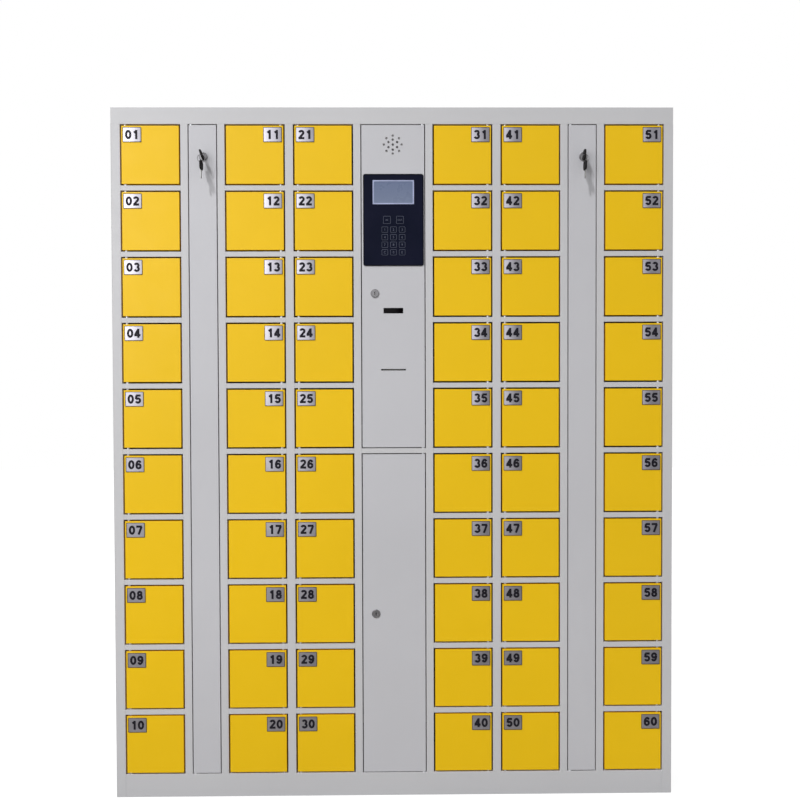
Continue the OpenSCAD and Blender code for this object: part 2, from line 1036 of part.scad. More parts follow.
module circuit_boards() {
    color(board_green) {
        for (side = [0, 1])
            at_driver_board(side) {
                board(board_w, board_h);
                for (k = [0:plugs - 1])
                    translate([0, 0, (k - (plugs - 1) / 2) * plug_pitch])
                        along_y(board_y - plug_d, plug_d)
                            square([plug_w, plug_h], center = true);
            }
        at_main_board() {
            board(main_w, main_h);
            translate([chip_x, 0, chip_z])
                along_y(board_y - plug_d, plug_d)
                    square([chip_w, chip_w], center = true);
            for (k = [-1:1])
                translate([k * main_plug_pitch, 0, main_plug_up - main_h / 2])
                    along_y(board_y - plug_d, plug_d)
                        square([plug_w, plug_h], center = true);
        }
    }
}

module board_standoffs() {
    color(zinc) {
        for (side = [0, 1])
            at_driver_board(side)
                along_y(board_y + board_t, standoff_h)
                    board_corners(board_w, board_h)
                        circle(standoff_r);
        at_main_board()
            along_y(board_y + board_t, standoff_h)
                board_corners(main_w, main_h)
                    circle(standoff_r);
    }
}

module power_supply() {
    color(zinc)
        translate([0, front_y, kick_h + supply_up])
            along_y(cab_d - sheet_t - supply_d, supply_d)
                translate([-supply_w / 2, 0])
                    square([supply_w, supply_h]);
}

module cable_grommet() {
    color(black)
        translate([0, front_y + cab_d, kick_h + grommet_up])
            rotate([-90, 0, 0])
                rotate_extrude()
                    polygon([
                        [cable_r, -sheet_t - grommet_t],
                        [grommet_r, -sheet_t - grommet_t],
                        [grommet_r, -sheet_t],
                        [grommet_hole_r, -sheet_t],
                        [grommet_hole_r, 0],
                        [cable_r, 0]
                    ]);
}

module duct(x, z, h) {
    translate([x - duct_w / 2, front_y + cab_d - sheet_t - duct_w, z])
        cube([duct_w, duct_w, h]);
}

module wiring_ducts() {
    centre_x = -centre_w / 2 - post_w + 2 * sheet_t + duct_w / 2;
    color("#8c8f94") {
        for (side = [0, 1])
            duct(bay_x[side] + duct_w / 2, kick_h + duct_end, stack_h - 2 * duct_end);
        duct(centre_x, kick_h + duct_end, lower_h - 2 * duct_end);
        duct(centre_x, split_z + duct_end, upper_h - 2 * duct_end);
    }
}

side_panel_left();
side_panel_right();
top_cover();
ceiling_panel();
base_tray();
kick_plate();
rear_plinth();
back_panel();
front_posts();
front_rails();
partitions();
shelves();
hinge_pins();
electric_locks();
circuit_boards();
board_standoffs();
power_supply();
cable_grommet();
wiring_ducts();
service_door(0);  // service_door_left
service_door(1);  // service_door_right
control_door();
lower_door();
at_service_lock(0) lock_barrel();  // lock_service_left
at_service_lock(1) lock_barrel();  // lock_service_right
at_control_lock() lock_barrel();  // lock_control
at_lower_lock() lock_barrel();  // lock_lower
at_service_lock(0) lock_plug(key_tilt_left, 180);  // plug_service_left
at_service_lock(1) lock_plug(key_tilt_right, 180);  // plug_service_right
at_control_lock() lock_plug(0, 0);  // plug_control
at_lower_lock() lock_plug(0, 0);  // plug_lower
at_service_lock(0) inserted_key(key_tilt_left);  // key_left
at_service_lock(1) inserted_key(key_tilt_right);  // key_right
at_service_lock(0) key_ring(key_tilt_left);  // key_ring_left
at_service_lock(1) key_ring(key_tilt_right);  // key_ring_right
at_service_lock(0) spare_key(key_tilt_left);  // spare_key_left
at_service_lock(1) spare_key(key_tilt_right);  // spare_key_right
operator_panel();
panel_housing();
lcd_module();
keypad();
speaker();
code_scanner();
ticket_printer();
paper_roll();
door_column(0);  // doors_01_10
door_column(1);  // doors_11_20
for (r = [0:rows - 1])
    cell_door(2, r);
door_column(3);  // doors_31_40
door_column(4);  // doors_41_50
door_column(5);  // doors_51_60
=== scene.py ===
import json
import math

import bmesh
import bpy
from mathutils import Matrix, Vector

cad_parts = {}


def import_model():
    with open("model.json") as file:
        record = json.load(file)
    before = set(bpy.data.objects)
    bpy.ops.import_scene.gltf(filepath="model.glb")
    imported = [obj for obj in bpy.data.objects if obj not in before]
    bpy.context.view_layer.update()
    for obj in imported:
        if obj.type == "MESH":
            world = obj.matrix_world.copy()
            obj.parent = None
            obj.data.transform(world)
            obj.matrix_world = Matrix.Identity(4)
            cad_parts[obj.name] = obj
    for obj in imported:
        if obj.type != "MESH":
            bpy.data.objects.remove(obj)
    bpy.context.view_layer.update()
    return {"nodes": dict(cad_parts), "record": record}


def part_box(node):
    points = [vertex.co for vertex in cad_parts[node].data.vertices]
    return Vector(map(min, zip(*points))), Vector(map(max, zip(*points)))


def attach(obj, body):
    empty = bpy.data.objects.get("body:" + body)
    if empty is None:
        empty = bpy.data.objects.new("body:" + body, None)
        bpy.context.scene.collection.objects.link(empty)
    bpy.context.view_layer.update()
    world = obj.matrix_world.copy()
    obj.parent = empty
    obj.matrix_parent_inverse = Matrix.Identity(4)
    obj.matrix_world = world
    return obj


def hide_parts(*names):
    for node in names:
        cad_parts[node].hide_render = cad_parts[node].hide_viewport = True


# Looks of the phone locker: finishes, number plates, keys, lock heads and control panel details.
# Lengths are metres, written as so many MM.
MM = 0.001

# Sheet metal
SHEET_T = 1 * MM
SHEET_ROUNDING = 0.5 * MM
# Width of the band of painted edge light along sheet edges
PAINTED_EDGE_RADIUS = 0.9 * MM
BARE_FADE = 0.3 * MM
ROUNDED_FROM = 50
SHARP_FROM = 32
WELD_DISTANCE = 0.002 * MM
MERGE_DISTANCE = 0.001 * MM

# Doors
ROWS = 10
BANKS = ["doors_01_10", "doors_11_20", None, "doors_31_40", "doors_41_50", "doors_51_60"]
PLATE_W = 48 * MM
PLATE_H = 38.5 * MM
PLATE_T = 0.8 * MM
PLATE_CORNER = 1.5 * MM
PLATE_IN = 3.5 * MM
PLATE_DOWN = 4 * MM
PLATE_LINE = 1.4 * MM
PLATE_RIM = 0.25 * MM
DIGIT_H = 23.6 * MM
DIGIT_GAP = 2.6 * MM
STROKE = 5.8 * MM
STROKE_RISE = 0.1
ARC_STEP = 15
INK_T = 0.15 * MM
INK_RIM = 0.02 * MM
STRIKE_FROM = 16.5 * MM

# Strokes of each digit on a field 1 high, measured to the middle of the stroke: an arc is its
# centre, its two radii and its two angles in degrees, and a line is its points
DIGIT_FIELD = 0.68
DIGITS = {
    "0": [("arc", (0, 0.5), (0.23, 0.385), (0, 360))],
    "1": [("line", [(0.09, 0), (0.09, 1)]), ("line", [(0.06, 0.86), (-0.16, 0.7)])],
    "2": [("arc", (0, 0.69), (0.22, 0.2), (168, -38)), ("line", [(0.19, 0.6), (-0.2, 0.13)]),
          ("line", [(-0.32, 0.11), (0.33, 0.11)])],
    "3": [("arc", (0, 0.71), (0.2, 0.18), (165, -80)), ("arc", (0, 0.31), (0.23, 0.2), (90, -165))],
    "4": [("line", [(0.11, 0), (0.11, 1)]), ("line", [(0.1, 0.9), (-0.25, 0.32)]),
          ("line", [(-0.34, 0.29), (0.34, 0.29)])],
    "5": [("line", [(0.3, 0.89), (-0.2, 0.89)]), ("line", [(-0.16, 0.9), (-0.21, 0.48)]),
          ("arc", (0, 0.34), (0.225, 0.23), (150, -160))],
    "6": [("arc", (0, 0.33), (0.22, 0.22), (0, 360)), ("arc", (0.03, 0.4), (0.26, 0.49), (180, 40))],
    "7": [("line", [(-0.32, 0.89), (0.32, 0.89)]), ("line", [(0.26, 0.88), (-0.06, 0)])],
    "8": [("arc", (0, 0.715), (0.18, 0.175), (0, 360)), ("arc", (0, 0.31), (0.22, 0.2), (0, 360))],
    "9": [("arc", (0, 0.67), (0.22, 0.22), (0, 360)), ("arc", (-0.03, 0.6), (0.26, 0.49), (0, -140))],
}

# Keys: the bow's rim stands round a thinner core with a boss about the ring's hole
BOW_CORNER = 9 * MM
BOW_STEPS = 10
BOW_RIM = 0.9 * MM
RIM_INSIDE = 0.8
CORE_SHARE = 0.9
CORE_T_SHARE = 0.72
CORE_RIM = 0.3 * MM
BOW_HOLE_R = 2.5 * MM
BOW_HOLE_IN = 5 * MM
HOLE_STEPS = 28
BOSS_W = 1.6 * MM
BOSS_RIM = 0.4 * MM
BLADE_T = 2 * MM
BLADE_CORE_T = 1.2 * MM
BLADE_W = 8 * MM
BLADE_L = 22 * MM
BLADE_ROOT = 1 * MM
BLADE_NECK = 3.5 * MM
BLADE_RIM = 0.15 * MM
CUTS = [1.1 * MM, 2.0 * MM, 0.7 * MM, 1.6 * MM, 1.3 * MM]
CUT_PITCH = 3 * MM
CUT_FIRST = 4.2 * MM
CUT_START = 0.45
CUT_FLOOR = 0.15
SPINE_W = 2.4 * MM
SPINE_SHORTER = 4 * MM
SPINE_IN = 1.3 * MM
SPINE_CORNER = 0.6 * MM
SPINE_RIM = 0.2 * MM
KEY_SHOULDER = 1 * MM
LEAN_LEFT = -19
LEAN_RIGHT = 4

# Cam locks
HEAD_R = 11 * MM
BARREL_R = 9.5 * MM
PLUG_R = 6 * MM
PLUG_FIT = 0.05 * MM
BARREL_STEPS = 40
BORE_CHAMFER = 0.35 * MM
HEAD_FOOT = 0.2 * MM
THREAD_FIRST = 1 * MM
THREAD_PITCH = 1 * MM
THREAD_DEPTH = 0.5 * MM
NUT_AF = 24 * MM
NUT_T = 4 * MM
NUT_RIM = 0.3 * MM

# Groove round the lock's face as (radius past the barrel's, depth below the top), and the head's
# rounded shoulder as (radius short of the head's, depth below the top)
GROOVE = [(-0.5 * MM, 0), (-0.2 * MM, 0.35 * MM), (0.2 * MM, 0.35 * MM), (0.4 * MM, 0.1 * MM)]
SHOULDER = [(0.7 * MM, 0.3 * MM), (0.2 * MM, 0.7 * MM), (0, 1.2 * MM)]

# Control panel
LCD_SIZE = (107.5 * MM, 62.5 * MM)
LCD_PLAY = 0.2 * MM
LCD_RIM = 3.3 * MM
LCD_CORNER = 2 * MM
LCD_OUTER_CORNER = 0.8 * MM
LCD_EDGE_T = 0.35 * MM
LCD_EDGE_RIM = 0.08 * MM
FILM_BORDER = 3.5 * MM
PIXEL_ROW = 0.6 * MM
PRINT_T = 0.06 * MM
PRINT_RIM = 0.01 * MM
KEY_LINE = 0.7 * MM
KEY_CORNER = 2 * MM
FUNCTION_SIZE = (19 * MM, 20 * MM)
FUNCTION_X = 17 * MM
FUNCTION_DOWN = 14 * MM
FUNCTION_LETTER_H = 4.2 * MM
NUMBER_SIZE = (16 * MM, 15 * MM)
NUMBER_PITCH = (22.5 * MM, 19.6 * MM)
NUMBER_DOWN = 39 * MM
NUMBER_LETTER_H = 6 * MM
KEY_LABELS = ["123", "456", "789", "C0E"]
GLASS_SIZE = (51 * MM, 14 * MM)
GLASS_CORNER = 1 * MM
GLASS_T = 0.4 * MM
GLASS_RIM = 0.1 * MM
GLASS_DOWN = 483 * MM

# Stage: the floor turns white between FLOOR_FAR and FLOOR_NEAR before the front face
FLOOR_REACH = 8.0
FLOOR_NEAR = 60 * MM
FLOOR_FAR = 280 * MM
FLOOR_GLOW = 0.91

# What glossy rays see of the studio: a bright round window, whose edge lies between two cosines from
# its direction, in a dim part of the room that ends between two values of the ray's y
WINDOW_WAY = (-0.335, -0.936, 0.102)
WINDOW_EDGE = (0.872, 0.925)
DIM_LEVEL = 0.2
WINDOW_LEVEL = 2.25
DIM_END = (-0.9, -0.8)

# Strength of the room's light on everything that isn't a mirror
ROOM_LEVEL = 0.43

# Lamps
SUN_WAY = (0.8, 1.0, -1.7)
SUN_POWER = 2.12
SUN_SPREAD = 5
FRONT_BOX = {"place": (-2.4, -2.6, 2.1), "aim": (-0.3, 0, 1.2), "size": 1.8, "power": 36}
BACK_BOX = {"place": (0.9, 3.6, 2.2), "aim": (0, 0, 0.9), "size": 2.6, "power": 46}

# Camera, fitted to the photograph: its place before the front face and below the header
EYE_X = -3.7 * MM
EYE_BACK = 2050 * MM
EYE_DROP = 677.6 * MM
PITCH = 0.0187
YAW = -0.0099
ROLL = 0.0032
FOCAL_SHARE = 785.3 / 800
SENSOR = 36
CLIP_NEAR = 0.05
CLIP_FAR = 60


def srgb(red, green, blue):
    """Linear colour of an sRGB colour written from 0 to 255."""
    def linear(value):
        share = value / 255
        return share / 12.92 if share <= 0.04045 else ((share + 0.055) / 1.055) ** 2.4
    return (linear(red), linear(green), linear(blue), 1.0)


def scaled(colour, share):
    return tuple(min(1.0, part * share) for part in colour[:3]) + (1.0,)


# Materials

BARE_ZINC = srgb(196, 199, 203)


class Look:
    """A node material around one Principled shader, textured in the frame's own metres."""

    def __init__(self, name):
        self.material = bpy.data.materials.new(name)
        self.material.use_nodes = True
        self.tree = self.material.node_tree
        self.shader = self.tree.nodes["Principled BSDF"]
        self.place = self.tree.nodes.new("ShaderNodeTexCoord").outputs["Object"]

    def put(self, socket, value):
        """A link, if value is another node's output, or else a constant."""
        if isinstance(value, bpy.types.NodeSocket):
            self.tree.links.new(value, socket)
        else:
            socket.default_value = value

    def noise(self, scale, detail=2, stretch=(1, 1, 1)):
        spread = self.tree.nodes.new("ShaderNodeMapping")
        self.put(spread.inputs["Vector"], self.place)
        spread.inputs["Scale"].default_value = stretch
        texture = self.tree.nodes.new("ShaderNodeTexNoise")
        self.put(texture.inputs["Vector"], spread.outputs["Vector"])
        texture.inputs["Scale"].default_value = scale
        texture.inputs["Detail"].default_value = detail
        return texture.outputs["Fac"]

    def span(self, value, low, high, start=0.3, end=0.7):
        node = self.tree.nodes.new("ShaderNodeMapRange")
        self.put(node.inputs["Value"], value)
        node.inputs["From Min"].default_value = start
        node.inputs["From Max"].default_value = end
        node.inputs["To Min"].default_value = low
        node.inputs["To Max"].default_value = high
        return node.outputs["Result"]

    def math(self, operation, a, b=0.0):
        node = self.tree.nodes.new("ShaderNodeMath")
        node.operation = operation
        self.put(node.inputs[0], a)
        self.put(node.inputs[1], b)
        return node.outputs[0]

    def mix(self, share, a, b):
        node = self.tree.nodes.new("ShaderNodeMix")
        node.data_type = "RGBA"
        self.put(node.inputs[0], share)
        self.put(node.inputs[6], a)
        self.put(node.inputs[7], b)
        return node.outputs[2]

    def bump(self, height, distance, strength=1.0, normal=None):
        node = self.tree.nodes.new("ShaderNodeBump")
        node.inputs["Strength"].default_value = strength
        node.inputs["Distance"].default_value = distance
        self.put(node.inputs["Height"], height)
        if normal is not None:
            self.put(node.inputs["Normal"], normal)
        return node.outputs["Normal"]

    def edges(self, radius):
        """1 on sharp outer edges and in corners, 0 on flat faces."""
        rounded = self.tree.nodes.new("ShaderNodeBevel")
        rounded.samples = 4
        rounded.inputs["Radius"].default_value = radius
        flat = self.tree.nodes.new("ShaderNodeNewGeometry").outputs["Normal"]
        dot = self.tree.nodes.new("ShaderNodeVectorMath")
        dot.operation = "DOT_PRODUCT"
        self.put(dot.inputs[0], rounded.outputs["Normal"])
        self.put(dot.inputs[1], flat)
        return self.span(dot.outputs["Value"], 1.0, 0.0, 0.75, 0.99)

    def facing_part(self, axis):
        """One component of the face's normal in the frame's axes."""
        node = self.tree.nodes.new("ShaderNodeSeparateXYZ")
        self.put(node.inputs[0], self.tree.nodes.new("ShaderNodeTexCoord").outputs["Normal"])
        return node.outputs[axis]

    def set(self, name, value):
        self.put(self.shader.inputs[name], value)

    def parts(self):
        node = self.tree.nodes.new("ShaderNodeSeparateXYZ")
        self.put(node.inputs[0], self.place)
        return node.outputs


def powder_coat(name, colour, edge_light_colour, side_shade_colour, bare_from=None):
    """Textured paint on sheet steel: cloudy tone, orange peel, slight waviness, painted edge light and
    painted side shade. Where bare_from is given, the steel behind that y is bare zinc."""
    look = Look(name)
    cloud = look.span(look.noise(scale=2.2, detail=3), 0.0, 1.0)
    speck = look.span(look.noise(scale=1400, detail=1), 0.0, 1.0)
    tone = look.mix(cloud, scaled(colour, 0.965), scaled(colour, 1.03))
    tone = look.mix(look.math("MULTIPLY", speck, 0.35), tone, scaled(colour, 0.93))
    # Painted edge light: along sharp edges the paint takes its edge colour, broken up by noise. It is lighter
    # as a painted highlight on the greys and brown as painted shade on the yellow.
    painted_edge_light = look.math("MULTIPLY", look.edges(PAINTED_EDGE_RADIUS), look.span(look.noise(scale=35, detail=3), 0.3, 1.0))
    tone = look.mix(painted_edge_light, tone, edge_light_colour)
    # Painted shade on the sides: faces turned away from the front take the side colour. It is a little darker
    # on the greys, and a deeper orange on the yellow that tints the gaps between doors.
    turned = look.math("ABSOLUTE", look.facing_part("Y"))
    tone = look.mix(look.span(turned, 1.0, 0.0, 0.2, 0.9), tone, side_shade_colour)
    if bare_from is not None:
        _, y, _ = look.parts()
        bare = look.span(y, 0.0, 1.0, bare_from, bare_from + BARE_FADE)
        tone = look.mix(bare, tone, BARE_ZINC)
        look.set("Metallic", bare)
    look.set("Base Color", tone)
    look.set("Roughness", look.span(look.noise(scale=18, detail=4), 0.36, 0.5))
    peel = look.bump(look.noise(scale=850, detail=2), distance=0.12 * MM, strength=0.35)
    look.set("Normal", look.bump(look.noise(scale=5, detail=1), distance=3 * MM, strength=0.12, normal=peel))
    look.shader.inputs["Specular IOR Level"].default_value = 0.35
    return look.material


def metal(name, colour, rough, stretch):
    """Plated or brushed metal: fine lines along one direction and cloudy gloss."""
    look = Look(name)
    lines = look.noise(scale=900, detail=3, stretch=stretch)
    cloud = look.span(look.noise(scale=60, detail=3), 0.0, 1.0)
    look.set("Base Color", look.mix(cloud, scaled(colour, 0.93), scaled(colour, 1.04)))
    look.set("Roughness", look.span(lines, *rough))
    look.set("Normal", look.bump(lines, distance=0.03 * MM, strength=0.25))
    look.shader.inputs["Metallic"].default_value = 1.0
    return look.material


def plastic(name, colour, rough, grain, depth, shine=0.5):
    """Moulded plastic with a fine grain."""
    look = Look(name)
    cloud = look.span(look.noise(scale=30, detail=3), 0.0, 1.0)
    look.set("Base Color", look.mix(cloud, scaled(colour, 0.85), scaled(colour, 1.15)))
    look.set("Roughness", look.span(look.noise(scale=120, detail=3), *rough))
    look.set("Normal", look.bump(look.noise(scale=grain, detail=2), distance=depth, strength=0.4))
    look.shader.inputs["Specular IOR Level"].default_value = shine
    return look.material


def panel_film(name, lo, hi):
    """Dark printed film: navy in the middle, black along the edges, with faint haze."""
    look = Look(name)
    x, _, z = look.parts()
    sides = look.math("MINIMUM", look.math("SUBTRACT", x, lo.x), look.math("SUBTRACT", hi.x, x))
    ends = look.math("MINIMUM", look.math("SUBTRACT", z, lo.z), look.math("SUBTRACT", hi.z, z))
    inside = look.span(look.math("MINIMUM", sides, ends), 0.0, 1.0, 0.4 * FILM_BORDER, FILM_BORDER)
    haze = look.span(look.noise(scale=9, detail=3), 0.0, 1.0)
    navy = look.mix(haze, srgb(14, 18, 35), srgb(21, 23, 42))
    look.set("Base Color", look.mix(inside, srgb(6, 5, 11), navy))
    look.set("Roughness", look.span(look.noise(scale=70, detail=4), 0.3, 0.42))
    look.set("Normal", look.bump(look.noise(scale=1500, detail=1), distance=0.03 * MM, strength=0.2))
    look.shader.inputs["Specular IOR Level"].default_value = 0.04
    return look.material


def display(name, lo, hi):
    """Unlit liquid crystal: grey-blue, a little paler towards the foot, with faint pixel rows."""
    look = Look(name)
    _, _, z = look.parts()
    fade = look.span(z, 0.0, 1.0, lo.z, hi.z)
    rows = look.math("SINE", look.math("MULTIPLY", z, 2 * math.pi / PIXEL_ROW))
    tone = look.mix(fade, srgb(116, 127, 152), srgb(100, 112, 142))
    look.set("Base Color", look.mix(look.span(rows, 0.0, 0.05, -1, 1), tone, srgb(80, 92, 120)))
    look.set("Roughness", look.span(look.noise(scale=50, detail=3), 0.25, 0.35))
    look.set("Normal", look.bump(look.noise(scale=300, detail=1), distance=0.01 * MM, strength=0.1))
    look.shader.inputs["Specular IOR Level"].default_value = 0.25
    return look.material


def circuit_board(name):
    """Green solder mask over faint tracks, with tinned specks."""
    look = Look(name)
    tracks = look.span(look.noise(scale=160, detail=2, stretch=(1, 1, 9)), 0.0, 1.0, 0.48, 0.53)
    dots = look.span(look.noise(scale=420, detail=1), 0.0, 1.0, 0.66, 0.7)
    tone = look.mix(tracks, srgb(24, 84, 52), srgb(36, 112, 70))
    look.set("Base Color", look.mix(dots, tone, srgb(190, 192, 190)))
    look.set("Roughness", look.span(dots, 0.45, 0.3, 0, 1))
    look.set("Normal", look.bump(tracks, distance=0.05 * MM, strength=0.5))
    return look.material


def paper(name):
    """White printer paper with faint fibres and the edges of its turns."""
    look = Look(name)
    fibres = look.noise(scale=1200, detail=4)
    look.set("Base Color", look.mix(look.span(fibres, 0, 1), srgb(228, 228, 222), srgb(243, 243, 238)))
    look.set("Roughness", look.span(fibres, 0.75, 0.9))
    turns = look.noise(scale=4000, detail=1, stretch=(1, 9, 9))
    look.set("Normal", look.bump(turns, distance=0.05 * MM, strength=0.3))
    return look.material


# Meshes

def rounded_outline(width, height, radius, steps=6):
    """Points of a rounded rectangle about the origin, anticlockwise."""
    points = []
    corners = [(1, 1), (-1, 1), (-1, -1), (1, -1)]
    for quarter, (side, end) in enumerate(corners):
        for step in range(steps + 1):
            angle = math.radians(90 * (quarter + step / steps))
            points.append((side * (width / 2 - radius) + radius * math.cos(angle),
                           end * (height / 2 - radius) + radius * math.sin(angle)))
    return points


def circle_outline(radius, steps=32, start=0.0):
    return [(radius * math.cos(start + 2 * math.pi * k / steps),
             radius * math.sin(start + 2 * math.pi * k / steps)) for k in range(steps)]


def moved(points, x, y):
    return [(px + x, py + y) for px, py in points]


def mesh_of(curve):
    """The mesh of a curve or text."""
    source = bpy.data.objects.new("source", curve)
    bpy.context.scene.collection.objects.link(source)
    graph = bpy.context.evaluated_depsgraph_get()
    mesh = bpy.data.meshes.new_from_object(source.evaluated_get(graph))
    bpy.data.objects.remove(source)
    return mesh


def slab(outlines, thickness, rim, curved=2):
    """A flat plate with a rounded rim: its back lies at z = 0 and its front at z = thickness."""
    curve = bpy.data.curves.new("outline", "CURVE")
    curve.dimensions = "2D"
    curve.fill_mode = "BOTH"
    curve.extrude = thickness / 2 - rim
    curve.bevel_depth = rim
    curve.bevel_resolution = curved
    curve.offset = -rim
    for points in outlines:
        spline = curve.splines.new("POLY")
        spline.points.add(len(points) - 1)
        for point, (x, y) in zip(spline.points, points):
            point.co = (x, y, 0, 1)
        spline.use_cyclic_u = True
    mesh = mesh_of(curve)
    mesh.transform(Matrix.Translation((0, 0, thickness / 2)))
    return mesh


def lettering(text, height):
    """Raised text about the origin."""
    curve = bpy.data.curves.new("lettering", "FONT")
    curve.body = text
    curve.extrude = 0.5
    curve.resolution_u = 6
    mesh = mesh_of(curve)
    xs = [v.co.x for v in mesh.vertices]
    ys = [v.co.y for v in mesh.vertices]
    mesh.transform(Matrix.Translation((-(min(xs) + max(xs)) / 2, -(min(ys) + max(ys)) / 2, 0.5)))
    tall = height / (max(ys) - min(ys))
    mesh.transform(Matrix.Diagonal((tall, tall, INK_T, 1)))
    return mesh


def stroke_points(kind, *shape):
    """Middle line of a digit's stroke."""
    if kind == "line":
        return [Vector(point) for point in shape[0]]
    (x, y), (across, up), (start, end) = shape
    steps = max(4, int(abs(end - start) / ARC_STEP))
    angles = [math.radians(start + (end - start) * k / steps) for k in range(steps + 1)]
    return [Vector((x + across * math.cos(a), y + up * math.sin(a))) for a in angles]


def stroke_band(points, width):
    """Outline of a band of even width along a middle line, with square ends."""
    left, right = [], []
    for k, point in enumerate(points):
        before = points[max(k - 1, 0)]
        after = points[min(k + 1, len(points) - 1)]
        ahead = (after - before).normalized()
        side = Vector((-ahead.y, ahead.x)) * width / 2
        left.append(point + side)
        right.append(point - side)
    return left, right


def number_mesh(text):
    """Bold printed number about the origin, built from bands, each a little higher than the last."""
    made = bmesh.new()
    pitch = DIGIT_FIELD * DIGIT_H + DIGIT_GAP
    for place, digit in enumerate(text):
        x0 = (place - (len(text) - 1) / 2) * pitch
        for layer, stroke in enumerate(DIGITS[digit]):
            points = [point * DIGIT_H for point in stroke_points(*stroke)]
            left, right = stroke_band(points, STROKE)
            height = INK_T * (1 + STROKE_RISE * layer)
            rows = []
            for a, b in zip(left, right):
                rows.append([made.verts.new((x0 + v.x, v.y - DIGIT_H / 2, z))
                             for v, z in ((a, 0), (a, height), (b, height), (b, 0))])
            for near, far in zip(rows, rows[1:]):
                for k in range(3):
                    made.faces.new((near[k], near[k + 1], far[k + 1], far[k]))
    bmesh.ops.recalc_face_normals(made, faces=made.faces)
    mesh = bpy.data.meshes.new("number")
    made.to_mesh(mesh)
    made.free()
    return mesh


def lathe(profile, steps=64):
    """Turns (radius, depth) points round the z axis."""
    made = bmesh.new()
    rings = []
    for radius, depth in profile:
        ring = []
        for k in range(steps):
            angle = 2 * math.pi * k / steps
            ring.append(made.verts.new((radius * math.cos(angle), radius * math.sin(angle), depth)))
        rings.append(ring)
    for near, far in zip(rings, rings[1:] + rings[:1]):
        for k in range(steps):
            other = (k + 1) % steps
            made.faces.new((near[k], near[other], far[other], far[k]))
    bmesh.ops.recalc_face_normals(made, faces=made.faces)
    mesh = bpy.data.meshes.new("lathe")
    made.to_mesh(mesh)
    made.free()
    return mesh


STANDING = Matrix(((1, 0, 0, 0), (0, 0, -1, 0), (0, 1, 0, 0), (0, 0, 0, 1)))


def facing(x, y, z):
    """Stands a flat mesh upright at a place, with its front towards -Y."""
    return Matrix.Translation((x, y, z)) @ STANDING


def piece(name, parts, body):
    """One object made of (mesh, matrix, material) parts, which rides on a body."""
    made = bmesh.new()
    materials = []
    for mesh, matrix, material in parts:
        if material not in materials:
            materials.append(material)
        start = len(made.faces)
        copy = mesh.copy()
        copy.transform(matrix)
        made.from_mesh(copy)
        made.faces.ensure_lookup_table()
        for face in made.faces[start:]:
            face.material_index = materials.index(material)
            face.smooth = True
    bmesh.ops.remove_doubles(made, verts=made.verts, dist=MERGE_DISTANCE)
    mesh = bpy.data.meshes.new(name)
    made.to_mesh(mesh)
    made.free()
    mesh.set_sharp_from_angle(angle=math.radians(SHARP_FROM))
    for material in materials:
        mesh.materials.append(material)
    thing = bpy.data.objects.new(name, mesh)
    bpy.context.scene.collection.objects.link(thing)
    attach(thing, body)
    return thing


def dress(node, material):
    """Gives a CAD node its finish."""
    for slot in node.material_slots:
        slot.material = material


def soften(node, width):
    """Rounds a CAD node's sheet edges a little, without touching its mesh."""
    weld = node.modifiers.new("weld", "WELD")
    weld.merge_threshold = WELD_DISTANCE
    rim = node.modifiers.new("rim", "BEVEL")
    rim.width = width
    rim.segments = 2
    rim.limit_method = "ANGLE"
    rim.angle_limit = math.radians(ROUNDED_FROM)


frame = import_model()
nodes = frame["nodes"]

front_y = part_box("front_posts")[0].y
head_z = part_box("front_posts")[1].z
top_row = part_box("door_21")
row_pitch = top_row[0].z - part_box("door_22")[0].z
control_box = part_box("control_door")
panel_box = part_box("operator_panel")
lcd_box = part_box("lcd_module")
pad_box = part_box("keypad")

# Second colour: painted edge light, a painted highlight on the greys and painted shade on the yellow. Third
# colour: painted shade on the sides, a deeper orange on the yellow to tint the gaps.
STEEL = powder_coat("steel_grey", srgb(199, 199, 202), srgb(206, 206, 208), srgb(196, 195, 197))
DOOR = powder_coat("door_grey", srgb(196, 196, 201), srgb(204, 204, 208), srgb(192, 191, 195))
YELLOW = powder_coat("door_yellow", srgb(238, 193, 0), srgb(176, 112, 34), srgb(240, 178, 24),
                     front_y + STRIKE_FROM)
ZINC = metal("zinc", BARE_ZINC, rough=(0.35, 0.6), stretch=(1, 1, 1))
NICKEL = metal("nickel", srgb(126, 125, 128), rough=(0.36, 0.5), stretch=(1, 1, 6))
LOCK_CASE = metal("lock_case", srgb(62, 60, 60), rough=(0.45, 0.6), stretch=(1, 1, 1))
PLATE = metal("plate_aluminium", srgb(159, 157, 165), rough=(0.34, 0.4), stretch=(0.1, 1, 2))
BLADE = metal("key_blade", srgb(140, 140, 138), rough=(0.3, 0.42), stretch=(1, 1, 5))
INK = plastic("plate_ink", srgb(20, 18, 27), rough=(0.5, 0.6), grain=1500, depth=0.02 * MM, shine=0.15)
LINE_INK = plastic("plate_line", srgb(56, 48, 62), rough=(0.45, 0.6), grain=1500, depth=0.02 * MM, shine=0.2)
BLACK = plastic("black_plastic", srgb(15, 12, 15), rough=(0.5, 0.62), grain=1800, depth=0.05 * MM, shine=0.12)
FILM = panel_film("panel_film", *panel_box)
LCD = display("display", *lcd_box)
LCD_EDGE = plastic("display_edge", srgb(166, 174, 208), rough=(0.3, 0.4), grain=900, depth=0.02 * MM)
PRINT = plastic("key_print", srgb(94, 99, 114), rough=(0.45, 0.55), grain=1200, depth=0.02 * MM, shine=0.1)
GLASS = plastic("scanner_glass", srgb(6, 4, 6), rough=(0.1, 0.18), grain=60, depth=0.01 * MM, shine=0.05)
